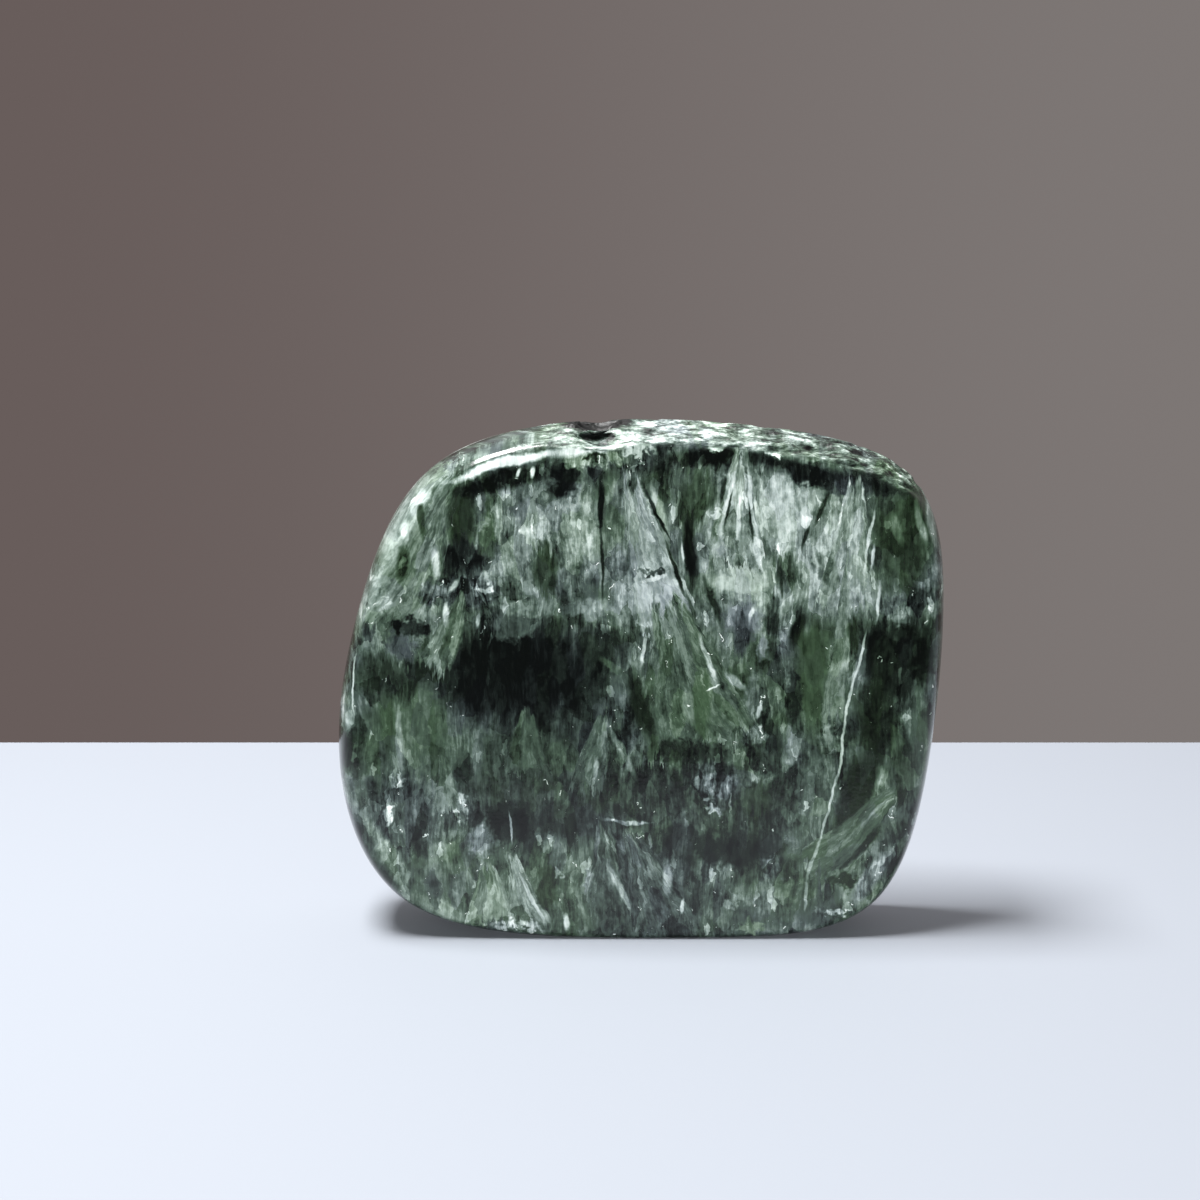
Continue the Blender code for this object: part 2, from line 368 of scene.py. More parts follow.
# The marks in the order that they lie over each other. A cloud has its middle, its half width and half
# height, and its look, and a spot is a cloud with a rough border. A streak has its two ends, its half width
# and its look. A plume has its root, its tip, its half width at the tip and its look.
CLOUD = "cloud"
SPOT = "spot"
STREAK = "streak"
PLUME = "plume"
MARKS = (
    # The broad zones of the face, with two thin streaks, of which the one at the left edge is a painted
    # highlight
    (CLOUD, (-11, 40.5), (8, 6), (0.50, 0.50, 0.65)),
    (CLOUD, (-23, 39), (4.5, 8), (0.44, 0.30, 0.5)),
    (CLOUD, (12, 40), (12, 8.5), (0.59, 0.50, 0.6)),
    (CLOUD, (-12, 26.5), (10, 6), (0.04, 0.65, 0.15)),
    (CLOUD, (-13, 27.5), (6.5, 3.8), (-0.03, 0.60, 0.05)),
    (CLOUD, (-23.5, 26.6), (5.0, 2.4), (0.13, 0.40, 0.2)),
    (CLOUD, (-23, 20), (5, 5.5), (0.36, 0.35, 0.3)),
    (CLOUD, (-24, 20.5), (1.6, 4), (0.48, 0.35, 0.3)),
    (CLOUD, (-24, 12.5), (4.5, 4.5), (0.25, 0.70, 0.6)),
    (CLOUD, (-13, 17.5), (8, 4.5), (0.25, 0.45, 0.3)),
    (CLOUD, (5, 25), (7, 6.5), (0.36, 0.30, 0.45)),
    (CLOUD, (11, 15), (8, 5), (0.19, 0.42, 0.5)),
    (CLOUD, (3, 15.5), (5, 3), (0.18, 0.50, 0.5)),
    (CLOUD, (-6.5, 12.5), (2.5, 3.5), (0.18, 0.60, 0.4)),
    (CLOUD, (-3.5, 29.5), (3, 2.2), (0.14, 0.50, 0.3)),
    (CLOUD, (-12, 5), (9, 5), (0.38, 0.35, 0.5)),
    (CLOUD, (2, 5), (7, 6), (0.24, 0.65, 0.5)),
    # A painted highlight: a thin line of light along the rounding of the left edge
    (STREAK, (-28.1, 28.8), (-28.5, 22.0), 0.12, (0.76, 0.60, 0.2)),
    (CLOUD, (17.5, 14), (2.2, 8), (0.40, 0.35, 0.4)),
    (STREAK, (19.8, 30), (19.1, 20), 0.4, (0.44, 0.40, 0.3)),
    (CLOUD, (26, 28), (4, 5), (0.04, 0.35, 0.2)),
    (CLOUD, (26, 41), (3.6, 6), (0.22, 0.08, 0.25)),
    (CLOUD, (28, 19), (1.4, 6), (0.40, 0.40, 0.2)),
    (CLOUD, (26.2, 17.4), (1.6, 3), (0.22, 0.35, 0.2)),
    # The left shoulder, pale and streaked along the edge, and the mottle beside and below it
    (PLUME, (-18, 47.5), (-27.5, 31), 5.0, (0.50, 0.35, 0.4)),
    # Along the edge these streaks are partly the stone's pale fibres and partly a painted glow, light that
    # shines through the thin rim
    (STREAK, (-20.6, 46), (-26.6, 36), 1.3, (0.70, 0.50, 0.4)),
    (STREAK, (-26.2, 37), (-28.4, 30.5), 0.9, (0.66, 0.45, 0.5)),
    (STREAK, (-24.2, 36), (-23.6, 39.5), 0.7, (0.22, 0.10, 0.3)),
    (STREAK, (-21.7, 40), (-21.4, 44), 0.35, (0.25, 0.15, 0.2)),
    (STREAK, (-23.8, 40.2), (-22.8, 41.8), 0.35, (0.92, 0.45, 0.4)),
    (STREAK, (-22.4, 43), (-20.4, 44.6), 0.5, (0.78, 0.50, 0.3)),
    (STREAK, (-20.5, 35.8), (-20.7, 39), 0.45, (0.76, 0.60, 0.5)),
    (SPOT, (-26.5, 34), (1.4, 1.2), (0.66, 0.42, 0.6)),
    (CLOUD, (-17.7, 42), (1.5, 5.0), (0.16, 0.05, 0.12)),
    (CLOUD, (-17.4, 38.4), (2.9, 2.2), (0.06, 0.65, 0.25)),
    (SPOT, (-15.0, 41), (0.9, 3.4), (0.34, 0.15, 0.35)),
    (SPOT, (-13.4, 42.8), (1.8, 1.6), (0.62, 0.50, 0.7)),
    (SPOT, (-10.2, 40.8), (1.6, 0.8), (0.62, 0.60, 0.7)),
    (SPOT, (-13.2, 37.6), (1.2, 1.5), (0.58, 0.60, 0.6)),
    (SPOT, (-11, 43), (2.6, 1.0), (0.50, 0.70, 0.4)),
    (SPOT, (-5.6, 41.5), (1.5, 4.0), (0.60, 0.45, 0.55)),
    (CLOUD, (-9.5, 37.0), (1.3, 2.6), (0.20, 0.10, 0.2)),
    (SPOT, (-17.8, 34.8), (4.5, 1.6), (0.14, 0.80, 1.0)),
    (SPOT, (-20.6, 35.0), (1.8, 0.8), (0.40, 0.85, 1.0)),
    (SPOT, (-17.4, 35.1), (0.7, 0.8), (0.00, 0.60, 0.1)),
    (STREAK, (-19.2, 34.8), (-17.9, 35.9), 0.35, (0.66, 0.60, 0.7)),
    (SPOT, (-15.1, 34.7), (0.9, 0.5), (0.58, 0.70, 0.8)),
    (SPOT, (-12.0, 33.0), (2.4, 1.0), (0.50, 0.50, 0.5)),
    (SPOT, (-5, 33.2), (5.0, 1.0), (0.46, 0.55, 0.4)),
    (SPOT, (-7.0, 35.6), (1.0, 1.4), (0.54, 0.50, 0.5)),
    (SPOT, (-12.5, 31.4), (2.4, 1.4), (0.34, 0.60, 0.2)),
    (PLUME, (-17.3, 35), (-21, 27), 1.8, (0.46, 0.25, 0.5)),
    (STREAK, (-19.3, 31.4), (-19.3, 34), 0.35, (0.78, 0.55, 0.4)),
    (STREAK, (-20.6, 28.2), (-18.8, 30.8), 0.40, (0.42, 0.20, 0.4)),
    (STREAK, (-16.6, 31.2), (-16.1, 32.8), 0.25, (0.76, 0.60, 0.5)),
    (SPOT, (-23.8, 29.6), (1.6, 1.4), (0.30, 0.90, 0.2)),
    (SPOT, (-23, 31.5), (2.2, 1.0), (0.07, 0.50, 0.4)),
    # The dark strip under the top edge, which the pale fans grow down from, and a painted highlight along the
    # rounded top edge at the left
    (STREAK, (-18.5, 44.8), (-7.5, 47.4), 1.1, (0.05, 0.35, 0.5)),
    (SPOT, (-7.3, 46.0), (1.5, 1.7), (0.00, 0.60, 0.1)),
    (SPOT, (-4.6, 48.1), (3.4, 1.1), (0.64, 0.15, 0.8)),
    (SPOT, (-4.4, 48.1), (1.3, 0.5), (0.26, 0.05, 0.6)),
    (STREAK, (2.0, 47.7), (12.5, 48.1), 1.0, (0.03, 0.35, 0.7)),
    (SPOT, (-0.3, 48.9), (1.8, 0.6), (0.82, 0.40, 0.5)),
    (SPOT, (7.8, 46.6), (0.8, 1.4), (0.22, 0.45, 0.6)),
    (STREAK, (11.0, 48.2), (25.0, 44.6), 1.1, (0.03, 0.60, 0.4)),
    (SPOT, (16.4, 46.6), (1.9, 1.1), (0.03, 0.70, 0.3)),
    (SPOT, (20.6, 45.4), (3.0, 1.2), (0.16, 0.80, 0.5)),
    (STREAK, (23.1, 46.6), (23.3, 44.2), 0.35, (0.04, 0.45, 0.1)),
    # A painted highlight: the white band of light along the rounded top edge, from the left shoulder to the
    # middle
    (STREAK, (-19.4, 45.8), (-7.5, 49.4), 0.50, (0.94, 0.60, 0.15)),
    (STREAK, (-9.8, 48.7), (1.5, 50.2), 0.75, (0.98, 0.50, 0.35)),
    (SPOT, (7.3, 49.0), (0.9, 0.6), (0.95, 0.45, 0.5)),
    (SPOT, (9.8, 48.9), (0.7, 0.4), (0.92, 0.50, 0.5)),
    (SPOT, (13.3, 48.7), (0.9, 0.4), (0.95, 0.50, 0.5)),
    (STREAK, (-12.2, 46.2), (-11.8, 47.4), 0.2, (0.82, 0.50, 0.4)),
    (STREAK, (-10.6, 46.2), (-10.5, 47.6), 0.3, (0.90, 0.50, 0.4)),
    # The middle of the top: a dark crack, and a pale band that widens into a lilac cloud
    (CLOUD, (-2, 41), (1.7, 5.0), (0.42, 0.45, 0.5)),
    (CLOUD, (-1.3, 34), (1.2, 3.6), (0.56, 0.65, 0.5)),
    (SPOT, (-2.2, 37.8), (1.6, 1.6), (0.56, 0.75, 0.7)),
    (PLUME, (-1.2, 47.0), (3.2, 31.0), 2.8, (0.62, 0.70, 0.35)),
    (SPOT, (2.0, 34.3), (2.4, 2.6), (0.68, 0.85, 0.2)),
    (SPOT, (1.4, 37.0), (1.3, 0.4), (0.26, 0.70, 0.3)),
    (STREAK, (0.2, 36.0), (2.8, 36.7), 0.30, (0.84, 0.80, 0.5)),
    (STREAK, (-0.3, 31.7), (4.2, 31.9), 0.40, (0.72, 0.75, 0.7)),
    (STREAK, (-1.6, 45.0), (1.6, 37.4), 0.9, (0.66, 0.60, 0.4)),
    (STREAK, (1.0, 45.6), (2.8, 41.0), 0.40, (0.70, 0.30, 0.3)),
    (STREAK, (0.1, 46.0), (3.3, 39.6), 0.16, (0.10, 0.40, 0.2)),
    (CLOUD, (5.6, 44), (2.2, 2.8), (0.26, 0.12, 0.35)),
    (CLOUD, (5.2, 38.8), (0.75, 4.0), (0.03, 0.40, 0.1)),
    (STREAK, (4.4, 37.8), (4.4, 39.8), 0.14, (0.85, 0.60, 0.2)),
    (STREAK, (2.6, 40), (4.6, 34.2), 0.22, (0.08, 0.30, 0.1)),
    (SPOT, (4.0, 32.0), (1.6, 1.3), (0.52, 0.70, 0.3)),
    (STREAK, (4.6, 35), (5.6, 30.4), 0.20, (0.28, 0.40, 0.2)),
    (STREAK, (6.3, 36.4), (8.0, 31.4), 0.42, (0.13, 0.40, 0.2)),
    # The great pale fans of the upper right, and the mottle below them
    (PLUME, (9.9, 49.8), (9.6, 37), 2.5, (0.57, 0.42, 0.6)),
    (STREAK, (9.5, 47.4), (8.1, 39.4), 0.28, (0.78, 0.50, 0.4)),
    (STREAK, (9.2, 45.0), (8.7, 41.4), 0.14, (0.20, 0.30, 0.2)),
    (STREAK, (10.6, 47.2), (11.8, 39.0), 0.22, (0.78, 0.50, 0.4)),
    (STREAK, (10.9, 44.0), (11.3, 39.2), 0.14, (0.22, 0.30, 0.2)),
    (STREAK, (10.0, 44.5), (9.9, 39.5), 0.25, (0.80, 0.55, 0.4)),
    (STREAK, (11.3, 40), (11.8, 37.2), 0.30, (0.76, 0.55, 0.4)),
    (STREAK, (8.4, 46), (8.0, 43.4), 0.25, (0.18, 0.30, 0.2)),
    (SPOT, (8.0, 42.3), (0.6, 0.4), (0.80, 0.60, 0.4)),
    (SPOT, (7.9, 39), (1.0, 1.4), (0.68, 0.65, 0.4)),
    (SPOT, (13.8, 43.3), (1.7, 3.4), (0.68, 0.55, 0.45)),
    (SPOT, (13.3, 39.5), (1.1, 0.9), (0.70, 0.65, 0.7)),
    (SPOT, (16.6, 44.6), (1.4, 0.8), (0.66, 0.55, 0.5)),
    (STREAK, (17.6, 45.2), (15.0, 40.2), 0.65, (0.72, 0.50, 0.35)),
    (STREAK, (18.6, 45.0), (17.0, 41.2), 0.28, (0.20, 0.30, 0.2)),
    (STREAK, (18.2, 41.4), (16.6, 38), 0.30, (0.58, 0.55, 0.5)),
    (STREAK, (16.6, 41.2), (15.8, 38.9), 0.22, (0.20, 0.30, 0.3)),
    (CLOUD, (14.2, 36.8), (1.2, 1.7), (0.27, 0.25, 0.4)),
    (PLUME, (21.4, 46.8), (20.0, 33), 2.6, (0.60, 0.45, 0.45)),
    (STREAK, (23.2, 43.4), (22.1, 36.5), 0.20, (0.76, 0.52, 0.4)),
    (STREAK, (19.3, 43.5), (19.0, 39.5), 0.40, (0.68, 0.55, 0.4)),
    (SPOT, (18.0, 37.6), (0.8, 2.0), (0.32, 0.45, 0.6)),
    (SPOT, (9.8, 35.8), (3.4, 1.3), (0.70, 0.35, 0.25)),
    (SPOT, (10.2, 32.2), (2.2, 2.2), (0.48, 1.00, 0.3)),
    (CLOUD, (9.9, 30.6), (1.0, 2.2), (0.26, 0.90, 0.4)),
    (STREAK, (11.1, 33.7), (10.6, 31.9), 0.28, (0.82, 0.80, 0.3)),
    (CLOUD, (13.2, 32.2), (0.8, 2.2), (0.22, 0.50, 0.5)),
    (STREAK, (15.2, 29.2), (16.2, 33), 0.7, (0.00, 0.40, 0.1)),
    (SPOT, (12.1, 29), (0.7, 1.6), (0.52, 0.90, 0.3)),
    (SPOT, (20.6, 34.6), (1.5, 2.2), (0.66, 0.60, 0.5)),
    (CLOUD, (17.0, 26.5), (1.9, 6.0), (0.30, 0.02, 0.08)),
    (SPOT, (15.4, 25), (0.9, 2.6), (0.14, 0.40, 0.2)),
    (SPOT, (18.8, 20.2), (1.3, 1.2), (0.60, 0.50, 0.6)),
    (PLUME, (20.6, 38.5), (19.1, 21), 1.1, (0.51, 0.30, 0.4)),
    (SPOT, (10.9, 24.2), (1.0, 2.4), (0.52, 0.60, 0.5)),
    (CLOUD, (20.9, 30.8), (0.6, 1.8), (0.16, 0.15, 0.1)),
    # The green fan in the middle, the dark bands that leave it, and the mottle to its lower right
    (PLUME, (2.5, 34.5), (6.0, 19.0), 5.6, (0.40, 0.28, 0.40)),
    (STREAK, (5.6, 31), (7.5, 25.6), 0.28, (0.74, 0.45, 0.4)),
    (STREAK, (0.5, 31), (0.0, 27.5), 0.22, (0.74, 0.60, 0.3)),
    (CLOUD, (6.2, 23.6), (1.0, 3.6), (0.36, -0.05, 0.10)),
    (STREAK, (4.7, 26), (5.4, 21.4), 0.50, (0.54, 0.30, 0.3)),
    (STREAK, (3.4, 22.5), (3.3, 17.6), 0.7, (0.38, 0.30, 0.3)),
    (STREAK, (8.2, 22.5), (8.8, 17.2), 0.6, (0.40, 0.40, 0.4)),
    (STREAK, (8.2, 27), (10.3, 25.3), 0.45, (0.68, 0.70, 0.4)),
    (STREAK, (6.5, 25.0), (7.9, 25.8), 0.12, (0.84, 0.30, 0.2)),
    (STREAK, (-1.0, 27.5), (1.2, 19.6), 0.9, (0.14, 0.15, 0.12)),
    (SPOT, (4.5, 19.2), (4.6, 1.2), (0.16, 0.25, 0.3)),
    (STREAK, (-4.2, 28.4), (-1.2, 26.2), 0.45, (0.36, 0.25, 0.3)),
    (SPOT, (11.2, 21), (1.6, 0.9), (0.44, 0.65, 0.9)),
    (STREAK, (11.9, 24.2), (11.4, 22.4), 0.25, (0.76, 0.65, 0.4)),
    (STREAK, (14.6, 22), (14.8, 19.8), 0.38, (0.48, 0.70, 0.4)),
    (SPOT, (7.6, 15.8), (2.4, 2.0), (0.38, 0.80, 1.1)),
    (SPOT, (7.0, 13.5), (0.6, 0.5), (0.66, 0.80, 0.6)),
    (SPOT, (11.6, 16.4), (1.6, 1.2), (0.44, 0.40, 0.8)),
    (SPOT, (15.2, 18.8), (1.0, 1.0), (0.34, 0.60, 0.7)),
    (CLOUD, (11.5, 14), (1.8, 1.8), (0.26, 0.10, 0.15)),
    # The lower left
    (STREAK, (-24.0, 23.4), (-23.8, 16.6), 0.45, (0.58, 0.50, 0.3)),
    (STREAK, (-25.4, 26), (-25.0, 18), 0.9, (0.32, 0.15, 0.15)),
    (SPOT, (-24, 16), (0.6, 0.4), (0.66, 0.60, 0.6)),
    (SPOT, (-21.3, 22.4), (1.4, 4.0), (0.36, 0.20, 0.15)),
    (PLUME, (-19.8, 19.2), (-19.3, 12.5), 1.3, (0.47, 0.50, 0.4)),
    (STREAK, (-15.7, 22), (-16.4, 15.6), 0.8, (0.40, 0.65, 0.3)),
    (PLUME, (-11.2, 23.5), (-11.0, 16.6), 2.0, (0.34, 0.28, 0.25)),
    (PLUME, (-3.7, 23.4), (-5.4, 15.0), 1.6, (0.40, 0.42, 0.35)),
    (STREAK, (-3.5, 22.4), (-0.4, 16.4), 0.4, (0.54, 0.60, 0.5)),
    (STREAK, (-4.3, 18.6), (-4.4, 16.0), 0.3, (0.60, 0.55, 0.3)),
    (SPOT, (-18, 13), (0.5, 1.5), (0.62, 0.70, 1.0)),
    (SPOT, (-13.0, 12.0), (3.2, 2.2), (0.08, 0.60, 0.15)),
    (SPOT, (-8.0, 12.6), (3.0, 2.0), (0.14, 0.55, 0.25)),
    (STREAK, (-13.1, 13.2), (-12.8, 9.8), 0.14, (0.66, 1.00, 0.3)),
    (SPOT, (-25.1, 12.6), (0.5, 0.7), (0.66, 0.70, 0.9)),
    (STREAK, (-27.6, 12.0), (-22.4, 4.2), 1.1, (0.54, 0.35, 0.5)),
    (STREAK, (-24.0, 5.0), (-16.5, 1.6), 0.9, (0.58, 0.35, 0.45)),
    (SPOT, (-15.7, 10.2), (1.4, 1.9), (0.60, 0.90, 0.5)),
    (SPOT, (-15.6, 6.4), (1.3, 1.6), (0.42, 0.70, 0.5)),
    # The row of plumes along the bottom
    (PLUME, (-15.2, 8), (-15.2, 1), 2.4, (0.56, 0.22, 0.4)),
    (PLUME, (-12.8, 9.2), (-11.0, 1), 1.9, (0.50, 0.45, 0.5)),
    (STREAK, (-12.1, 7.2), (-9.8, 1.8), 0.24, (0.72, 0.60, 0.4)),
    (SPOT, (-9.2, 5.2), (1.1, 2.4), (0.22, 0.08, 0.2)),
    (SPOT, (-7.9, 6.8), (0.5, 0.6), (0.70, 0.60, 0.5)),
    (STREAK, (-7.6, 2.8), (-7.4, 1.0), 0.35, (0.88, 0.60, 0.2)),
    (SPOT, (-12.4, 1.1), (2.8, 0.6), (0.76, 0.60, 0.8)),
    (SPOT, (-5.0, 6.0), (0.5, 1.6), (0.50, 0.85, 0.5)),
    (PLUME, (-3.7, 12.8), (-2.8, 3), 2.2, (0.33, 0.65, 0.5)),
    (STREAK, (-3.4, 7.8), (-0.4, 2.6), 0.42, (0.66, 0.70, 0.4)),
    (PLUME, (-1.2, 11.6), (2.6, 1.0), 3.0, (0.38, 0.70, 0.5)),
    (STREAK, (2.9, 8.2), (3.0, 4.4), 0.55, (0.68, 0.85, 0.4)),
    (STREAK, (-3.8, 12.4), (1.2, 12.2), 0.22, (0.60, 0.80, 0.7)),
    (STREAK, (4.5, 4.2), (4.3, 2.6), 0.22, (0.78, 0.80, 0.3)),
    # The dark slate at the lower right, and the pale mottle under it
    (SPOT, (8.5, 9.4), (6.4, 1.9), (0.08, 0.50, 0.15)),
    (SPOT, (3.5, 10.4), (2.2, 1.6), (0.13, 0.60, 0.3)),
    (SPOT, (13.3, 7.2), (0.9, 1.6), (0.52, 0.85, 0.9)),
    (SPOT, (9.6, 4.0), (1.2, 0.8), (0.54, 0.50, 0.7)),
    (SPOT, (13.4, 3.2), (2.4, 1.4), (0.48, 0.45, 0.7)),
    (SPOT, (11.6, 1.2), (1.7, 0.6), (0.60, 0.12, 0.3)),
    # The lower right: a brown wedge, a green plume with a pale spine, and a slate border
    (CLOUD, (23.6, 22.5), (2.2, 4.5), (0.10, 0.15, 0.2)),
    (STREAK, (23.2, 20), (20.2, 11), 1.8, (0.14, 0.20, 0.1)),
    (PLUME, (26.0, 15.4), (17.2, 6.8), 2.4, (0.40, 0.28, 0.2)),
    (STREAK, (24.2, 11.8), (20.2, 7.6), 0.4, (0.18, 0.20, 0.15)),
    (STREAK, (25.4, 14.6), (22.4, 11.8), 0.20, (0.64, 0.50, 0.3)),
    (STREAK, (23.0, 12.4), (18.4, 8.6), 0.35, (0.52, 0.40, 0.3)),
    (SPOT, (20.4, 6.3), (2.0, 0.9), (0.14, 0.10, 0.1)),
    (STREAK, (25.0, 9.8), (21.4, 3.6), 1.0, (0.46, 0.85, 0.7)),
    (SPOT, (19.4, 3.0), (2.0, 0.5), (0.62, 0.60, 0.9)),
    # The right border, higher up
    (SPOT, (26.8, 22.4), (0.5, 0.5), (0.60, 0.40, 0.3)),
    (SPOT, (28.2, 35.6), (1.4, 0.7), (0.52, 0.65, 1.0)),
    (SPOT, (25.2, 33.2), (2.2, 1.4), (0.36, 0.60, 0.9)),
    (STREAK, (24.7, 42.8), (25.8, 39.6), 0.5, (0.42, 0.12, 0.2)),
    (STREAK, (27.0, 43.6), (28.5, 39.4), 0.5, (0.56, 0.25, 0.3)),
    (STREAK, (28.4, 45.5), (29.6, 39.0), 0.7, (0.66, 0.40, 0.3)),
    (SPOT, (29.0, 33.4), (1.0, 1.6), (0.56, 0.60, 0.7)),
    # The white vein, in stretches, with a black wedge beside it
    (STREAK, (23.0, 31.6), (22.7, 26.6), 0.60, (0.00, 0.40, 0.0)),
    (STREAK, (23.3, 39.8), (23.0, 37.2), 0.20, (0.80, 0.60, 0.4)),
    (STREAK, (23.8, 36), (23.1, 31.8), 0.20, (0.78, 0.60, 0.4)),
    (STREAK, (22.3, 31.5), (21.2, 26.0), 0.17, (0.74, 0.50, 0.3)),
    (STREAK, (21.4, 27.4), (20.2, 20.6), 0.18, (0.80, 0.50, 0.3)),
    (STREAK, (20.3, 21.8), (19.3, 15.8), 0.17, (0.76, 0.50, 0.3)),
    (STREAK, (19.5, 17.4), (17.7, 9.6), 0.17, (0.74, 0.50, 0.3)),
    (STREAK, (17.9, 10.6), (16.4, 5.4), 0.20, (0.64, 0.50, 0.3)),
    (STREAK, (16.5, 6.2), (16.7, 3.0), 0.20, (0.62, 0.60, 0.4)),
    # Cracks
    (STREAK, (-3.8, 46.2), (-3.6, 41.0), 0.30, (0.00, 0.50, 0.0)),
    (STREAK, (-3.7, 42), (-3.5, 34.0), 0.16, (0.10, 0.50, 0.2)),
)

# The stone's two greens, from dark to pale
OLIVE_DARK_TO_PALE = (
    (0.00, (0.0018, 0.0028, 0.0018)),
    (0.20, (0.0112, 0.0205, 0.0104)),
    (0.40, (0.0415, 0.0765, 0.0405)),
    (0.60, (0.1450, 0.2080, 0.1450)),
    (0.80, (0.3850, 0.4750, 0.3950)),
    (1.00, (0.6900, 0.7600, 0.7000)),
)
SLATE_DARK_TO_PALE = (
    (0.00, (0.0022, 0.0028, 0.0030)),
    (0.20, (0.0155, 0.0205, 0.0220)),
    (0.40, (0.0580, 0.0760, 0.0800)),
    (0.60, (0.1700, 0.2080, 0.2160)),
    (0.80, (0.4200, 0.4750, 0.4850)),
    (1.00, (0.7250, 0.7600, 0.7600)),
)


def tone_ramp(tree, tones, paleness):
    """The colour that a paleness has in one of the greens."""
    ramp = make(tree, "ShaderNodeValToRGB", {0: paleness})
    for place, colour in tones[1:-1]:
        ramp.color_ramp.elements.new(place)
    for element, (place, colour) in zip(ramp.color_ramp.elements, tones):
        element.position = place
        element.color = (*colour, 1.0)
    return ramp.outputs["Color"]


def ranks(start, end, half_width):
    """What gives a place (x, z, 1) its share across and its share along from one point to another."""
    way = Vector(end) - Vector(start)
    length = way.length
    along = way / length**2
    across = Vector((-way.y, way.x)) / (length * half_width)
    return [(*step, -step.dot(Vector(start))) for step in (across, along)]


# How much of a plume's look covers what lies under it, and the step that gives each plume its own crystals
PLUME_STRENGTH = 0.92
SEED_STEP = 7.3


def placed_mark(tree, mark, plume, points, look, fibres, number):
    """Lays one mark over the look and the fibres so far."""
    kind, start, *rest, own = mark
    if kind in (CLOUD, SPOT):
        share = oval(tree, points[kind], start, 0.0, rest[0])
        return blended(tree, share, look, (*own, 1.0)), fibres
    end, half_width = rest
    way = Vector(end) - Vector(start)
    if kind == STREAK:
        middle = (Vector(start) + Vector(end)) / 2
        share = oval(tree, points[kind], middle, math.atan2(way.y, way.x), (way.length / 2, half_width))
        return blended(tree, share, look, (*own, 1.0)), fibres
    across, along = ranks(start, end, half_width)
    feeds = {
        "Fibres": fibres,
        "Look": look,
        "Point": points[kind],
        "Tear": points["tear"],
        "Across": across,
        "Along": along,
        "Width": half_width / FIBRE_WIDTH,
        "Length": way.length / FIBRE_LENGTH,
        "Own Look": (*own, 1.0),
        "Strength": PLUME_STRENGTH,
        "Seed": SEED_STEP * number,
    }
    placed = make(tree, "ShaderNodeGroup", feeds, node_tree=plume)
    return placed.outputs["Look"], placed.outputs["Fibres"]


def cloudy(tree, at, scale, detail, roughness):
    """A cloudy noise, whose outputs are one share, Fac, and three more that Color carries."""
    feeds = {"Vector": at, "Scale": scale, "Detail": detail, "Roughness": roughness}
    return make(tree, "ShaderNodeTexNoise", feeds).outputs


def crystals(tree, at, counts):
    """Three random shares for each of a field of long cells, so many to a fibre across and along."""
    stretched = vectors(tree, "MULTIPLY", at, (*counts, 0.0))
    cells = make(tree, "ShaderNodeTexVoronoi", {"Vector": stretched, "Scale": 1.0}, voronoi_dimensions="2D")
    return parted(tree, cells.outputs["Color"])


def swayed(tree, value, share, reach):
    """The value, moved both ways by a noise."""
    return maths(tree, "MULTIPLY_ADD", maths(tree, "SUBTRACT", share, 0.5), reach, value)


def face_point(tree, x, z):
    """A point on the main face, as the ovals and plumes read it."""
    return make(tree, "ShaderNodeCombineXYZ", {0: x, 1: z, 2: 1.0}).outputs[0]


# How the pattern runs on through the stone: the depth behind the face where it starts to change, how far it
# slants and drifts for each millimetre from there, how far the fibres wander, and the scales of the noises
EDGE_DEPTH = 3.0
SLANT = (0.45, -0.30)
DRIFT = 0.9
DRIFT_SCALE = 0.09
WANDER = 1.6
WANDER_SCALE = 0.14

# How far the borders of marks reach across and up: fine ones, rough ones, and torn ones, whose height jumps
# from fibre to fibre, and the scales of the noises that move them
FINE = (0.35, 0.7)
ROUGH = (2.2, 3.2)
ROUGH_SCALE = 0.9
TORN = 6.0
TORN_SCALES = (1.8 / MM, 1.8 / MM, 0.16 / MM)

# The ground's paleness, hue and busyness, each as what its clouds are multiplied by and what is added
GROUND_SCALE = 0.22
GROUND = ((1.1, -0.20), (1.6, -0.30), (2.0, -0.50))

# The texture: how far crystals are crumpled across and along, how many of each kind lie to a fibre, how
# strongly each layer shows, how far they all are lowered, and their contrast in plain and busy stone
CRUMPLE = (2.6, 0.7, 0.0)
BIG_CRYSTALS = (0.20, 0.66)
SMALL_CRYSTALS = (0.70, 1.9)
BLOTCHES = (0.24, 0.75, 0.0)
HAZE_SCALE = 1.3
BIG_STRENGTH = 0.36
SMALL_STRENGTH = 0.24
BLOTCH_STRENGTH = 1.05
THREAD_STRENGTH = 0.95
HAZE_STRENGTH = 0.65
LOWERED = 0.03
PLAIN_CONTRAST = 0.16
BUSY_CONTRAST = 0.86
HUE_SWAY = 0.35

# Flecks: the small crystals whose share lies above FLECK_FROM, a little less in busy stone, are paler
FLECK_FROM = 0.99
FLECK_FULL = 1.02
FLECK_MORE = -0.12
FLECK_PALENESS = 0.27

# White specks, some fine and some as big as a grain of salt
SPECK_SCALE = 0.75
SPECK_SPREAD = 0.50
SPECK_START = -0.42
SPECK_MORE = 0.06
SPECK_LEAST = 0.01
SPECK_PALENESS = 0.6

# The crust is white and mint with dark gaps between its flakes, and a little darker to the right, and the pit
# at
# its back is darkened with painted shade: its scales, its contrast and paleness, where it darkens and from
# what to what, the place, reach and depth of the painted shade in the pit, and how the crust covers the
# pattern
FLAKY_SCALES = (0.5 / MM, 1.3 / MM, 1.3 / MM)
FLAKY_CONTRAST = -3.3
FLAKY_PALENESS = 2.22
CRUST_DARKENS = (2.0, 20.0, 0.06, -0.16)
SHADED_PIT_AT = (-4.2, 2.6, 50.4)
PIT_SHADE_REACH = 4.2
PIT_SHADE_FULL = 0.6 * PIT_SHADE_REACH
PIT_PAINTED_SHADE = -1.1
CRUST_COVERS = (0.2, 1.0, 0.0, 0.9)

